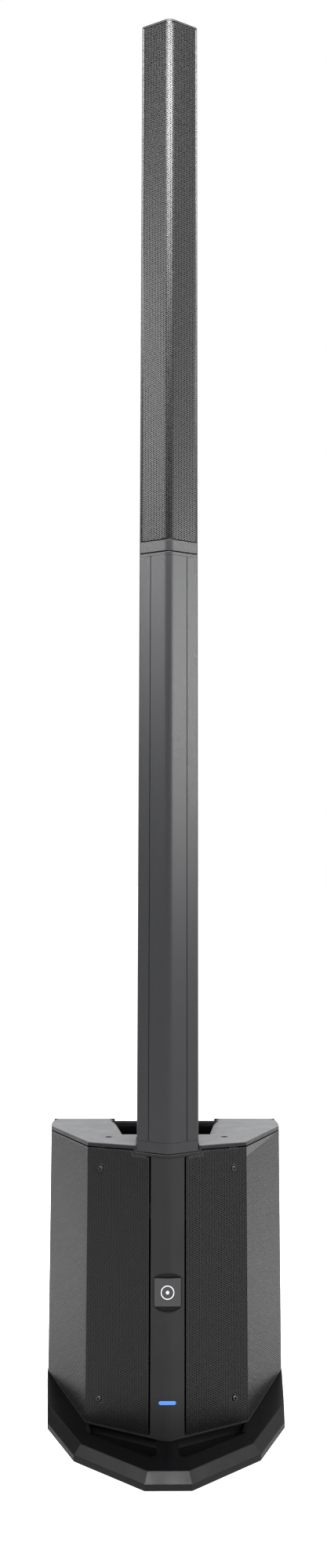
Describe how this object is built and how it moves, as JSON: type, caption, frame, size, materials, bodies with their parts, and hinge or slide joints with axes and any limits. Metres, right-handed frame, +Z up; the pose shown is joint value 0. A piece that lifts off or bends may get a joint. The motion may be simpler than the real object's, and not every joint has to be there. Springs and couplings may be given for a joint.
{
  "type": "column loudspeaker system",
  "caption": "Column PA system: a V-fronted bass box on a wide low foot, a plain spacer column standing in its top and a perforated array column above.",
  "frame": {"origin": "middle of the underside of the bounding box, on the floor between the rubber feet", "axes": "+Z up along the columns, -Y out of the V-shaped front, +X to the right of a viewer who faces the front"},
  "size_m": [0.353, 0.422, 2.05],
  "materials": {
    "cabinet": "fine grained black",
    "cover": "satin charcoal",
    "foot": "semi-gloss charcoal",
    "spine": "satin charcoal",
    "column": "fine satin dark grey powder coat",
    "grille": "perforated sheet, satin black paint",
    "dark": "plain matte black",
    "board": "black stained board",
    "rubber": "matte black",
    "paper": "pressed black pulp",
    "light": "clear lens, lit blue from inside",
    "screw": "black coated steel",
    "metal": "bare",
    "brass": "plated contacts",
    "circuit": "green lacquered board"
  },
  "bodies": {
    "box": {"base_foot": "foot", "rubber_foot_front_left": "rubber", "rubber_foot_front_right": "rubber", "rubber_foot_rear_left": "rubber", "rubber_foot_rear_right": "rubber", "cabinet_shell": "cabinet", "baffle_board": "board", "top_cover": "cover", "cover_screw_left": "screw", "cover_screw_right": "screw", "handle_cup": "dark", "handle_bar": "dark", "column_socket": "dark", "socket_contacts": "brass", "front_spine": "spine", "led_lens": "light", "grille_left": "grille", "grille_right": "grille", "grille_screw_left_low": "screw", "grille_screw_left_high": "screw", "grille_screw_right_low": "screw", "grille_screw_right_high": "screw", "woofer_basket": "screw", "woofer_surround": "rubber", "control_panel": "dark", "combo_jack_1": "dark", "combo_jack_2": "dark", "mains_inlet": "dark", "mixer_board": "circuit", "amp_heatsink": "metal"},
    "spacer": {"spacer_foot_cap": "column", "spacer_tube": "column", "spacer_head_cap": "column", "spacer_lead": "rubber", "joint_contacts": "brass"},
    "array": {"array_foot_cap": "column", "array_body": "column", "array_head_cap": "column", "array_grille": "grille", "array_baffle": "board", "driver_frame_1": "screw", "driver_frame_2": "screw", "driver_frame_3": "screw", "driver_frame_4": "screw", "driver_frame_5": "screw", "driver_frame_6": "screw"},
    "badge": {"badge": "spine"},
    "pair_button": {"pair_button": "rubber"},
    "power_rocker": {"power_switch": "dark"},
    "woofer_cone": {"woofer_cone": "paper"},
    "knob_1": {"level_knob_1": "rubber"},
    "knob_2": {"level_knob_2": "rubber"},
    "knob_3": {"level_knob_3": "rubber"},
    "knob_4": {"level_knob_4": "rubber"},
    "driver_cone_1": {"driver_cone_1": "paper"},
    "driver_cone_2": {"driver_cone_2": "paper"},
    "driver_cone_3": {"driver_cone_3": "paper"},
    "driver_cone_4": {"driver_cone_4": "paper"},
    "driver_cone_5": {"driver_cone_5": "paper"},
    "driver_cone_6": {"driver_cone_6": "paper"}
  },
  "joints": [
    {"name": "spacer_lift", "type": "slide", "parent": "box", "child": "spacer", "axis": [0, 0, 1], "range_m": [0, 0.08]},
    {"name": "array_lift", "type": "slide", "parent": "spacer", "child": "array", "axis": [0, 0, 1], "range_m": [0, 0.08]},
    {"name": "badge_turn", "type": "hinge", "parent": "box", "child": "badge", "pos_m": [0, -0.127, 0.2035], "axis": [0, -1, 0], "range_deg": [-90, 90]},
    {"name": "knob_1_turn", "type": "hinge", "parent": "box", "child": "knob_1", "pos_m": [-0.066, 0.1927, 0.23], "axis": [0, 1, 0], "range_deg": [-150, 150]},
    {"name": "knob_2_turn", "type": "hinge", "parent": "box", "child": "knob_2", "pos_m": [-0.022, 0.1927, 0.23], "axis": [0, 1, 0], "range_deg": [-150, 150]},
    {"name": "knob_3_turn", "type": "hinge", "parent": "box", "child": "knob_3", "pos_m": [0.022, 0.1927, 0.23], "axis": [0, 1, 0], "range_deg": [-150, 150]},
    {"name": "knob_4_turn", "type": "hinge", "parent": "box", "child": "knob_4", "pos_m": [0.066, 0.1927, 0.23], "axis": [0, 1, 0], "range_deg": [-150, 150]},
    {"name": "pair_button_press", "type": "slide", "parent": "box", "child": "pair_button", "axis": [0, -1, 0], "range_m": [0, 0.0015], "stiffness_N_per_m": 600},
    {"name": "power_rocker_tilt", "type": "hinge", "parent": "box", "child": "power_rocker", "pos_m": [-0.046, 0.1927, 0.09], "axis": [1, 0, 0], "range_deg": [0, 16]},
    {"name": "woofer_stroke", "type": "slide", "parent": "box", "child": "woofer_cone", "axis": [0, -1, 0], "range_m": [-0.004, 0.004], "stiffness_N_per_m": 2500},
    {"name": "driver_1_stroke", "type": "slide", "parent": "array", "child": "driver_cone_1", "axis": [0, -1, 0], "range_m": [-0.001, 0.001], "stiffness_N_per_m": 1500},
    {"name": "driver_2_stroke", "type": "slide", "parent": "array", "child": "driver_cone_2", "axis": [0, -1, 0], "range_m": [-0.001, 0.001], "stiffness_N_per_m": 1500},
    {"name": "driver_3_stroke", "type": "slide", "parent": "array", "child": "driver_cone_3", "axis": [0, -1, 0], "range_m": [-0.001, 0.001], "stiffness_N_per_m": 1500},
    {"name": "driver_4_stroke", "type": "slide", "parent": "array", "child": "driver_cone_4", "axis": [0, -1, 0], "range_m": [-0.001, 0.001], "stiffness_N_per_m": 1500},
    {"name": "driver_5_stroke", "type": "slide", "parent": "array", "child": "driver_cone_5", "axis": [0, -1, 0], "range_m": [-0.001, 0.001], "stiffness_N_per_m": 1500},
    {"name": "driver_6_stroke", "type": "slide", "parent": "array", "child": "driver_cone_6", "axis": [0, -1, 0], "range_m": [-0.001, 0.001], "stiffness_N_per_m": 1500}
  ]
}
